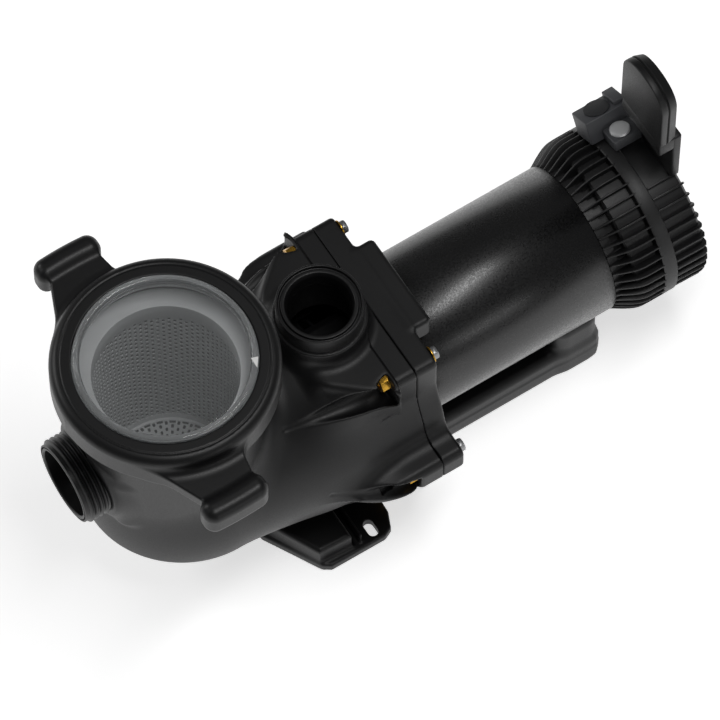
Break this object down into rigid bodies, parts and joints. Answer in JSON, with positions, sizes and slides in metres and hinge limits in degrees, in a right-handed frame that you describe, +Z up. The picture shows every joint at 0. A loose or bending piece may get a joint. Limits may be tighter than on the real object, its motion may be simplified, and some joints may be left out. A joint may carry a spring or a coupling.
{
  "type": "pool pump",
  "caption": "Self-priming swimming-pool pump with a clear-lidded strainer pot, flanged wet end, finned fan-cooled motor, rear control panel and foot.",
  "frame": {"origin": "on the ground under the foot, midway between its two mounting slots", "axes": "+X along the shaft from the strainer towards the motor, +Y to the left, +Z up"},
  "size_m": [0.7127, 0.34, 0.415],
  "materials": {
    "moulded_body": "satin black glass-filled moulding",
    "dark_moulding": "dark grey satin moulding",
    "clear_cover": "clear polycarbonate",
    "basket": "light grey moulding",
    "painted_shell": "semi-gloss black paint",
    "casting": "black painted die casting",
    "steel": "stainless steel",
    "brass": "yellow brass",
    "rubber": "black nitrile",
    "seal_carbon": "lapped carbon",
    "seal_ceramic": "lapped ceramic",
    "copper": "varnished copper wire",
    "lamination": "stacked steel laminations",
    "board": "green circuit board"
  },
  "bodies": {
    "root": {"access_plug": "steel", "base_screw_1": "steel", "base_screw_2": "steel", "conduit_plug": "moulded_body", "control_back_shell": "dark_moulding", "control_board": "board", "control_front_shell": "dark_moulding", "control_gasket": "rubber", "control_pedestal": "dark_moulding", "diffuser": "moulded_body", "diffuser_o_ring": "rubber", "display_window": "clear_cover", "fan_cover": "casting", "front_bearing": "steel", "front_end_bell": "casting", "front_winding": "copper", "housing_bolt_1": "steel", "housing_bolt_2": "steel", "housing_bolt_3": "steel", "housing_bolt_4": "steel", "housing_bolt_5": "steel", "housing_bolt_6": "steel", "housing_gasket": "rubber", "housing_nut_1": "brass", "housing_nut_2": "brass", "housing_nut_3": "brass", "housing_nut_4": "brass", "housing_nut_5": "brass", "housing_nut_6": "brass", "keypad": "rubber", "motor_cradle": "rubber", "motor_shell": "painted_shell", "pump_base": "moulded_body", "pump_housing": "moulded_body", "rear_bearing": "steel", "rear_end_bell": "casting", "rear_winding": "copper", "seal_plate": "moulded_body", "seal_seat": "seal_ceramic", "seal_seat_cup": "rubber", "stator_core": "lamination", "strainer_drain_plug": "moulded_body", "strainer_drain_seal": "rubber", "terminal_box": "dark_moulding", "volute_drain_plug": "moulded_body", "volute_drain_seal": "rubber"},
    "cover": {"strainer_cover": "clear_cover", "cover_o_ring": "rubber"},
    "lock_ring": {"lock_ring": "moulded_body"},
    "basket": {"strainer_basket": "basket"},
    "shaft": {"motor_shaft": "steel", "impeller": "dark_moulding", "impeller_screw": "steel", "seal_head": "seal_carbon", "seal_spring": "steel", "shaft_slinger": "rubber", "rotor_core": "lamination", "cooling_fan": "casting"}
  },
  "joints": [
    {"name": "cover_lift", "type": "slide", "parent": "root", "child": "cover", "axis": [0, 0, 1], "range_m": [0, 0.4]},
    {"name": "ring_turn", "type": "hinge", "parent": "cover", "child": "lock_ring", "pos_m": [-0.168, 0, 0.385], "axis": [0, 0, 1], "range_deg": [0, 45]},
    {"name": "basket_lift", "type": "slide", "parent": "root", "child": "basket", "axis": [0, 0, 1], "range_m": [0, 0.2]},
    {"name": "shaft_spin", "type": "hinge", "parent": "root", "child": "shaft", "pos_m": [0, 0, 0.15], "axis": [1, 0, 0], "continuous": true}
  ],
  "couplings": [
    {"joint": "basket_lift", "follows": "cover_lift", "ratio": 0.5}
  ]
}
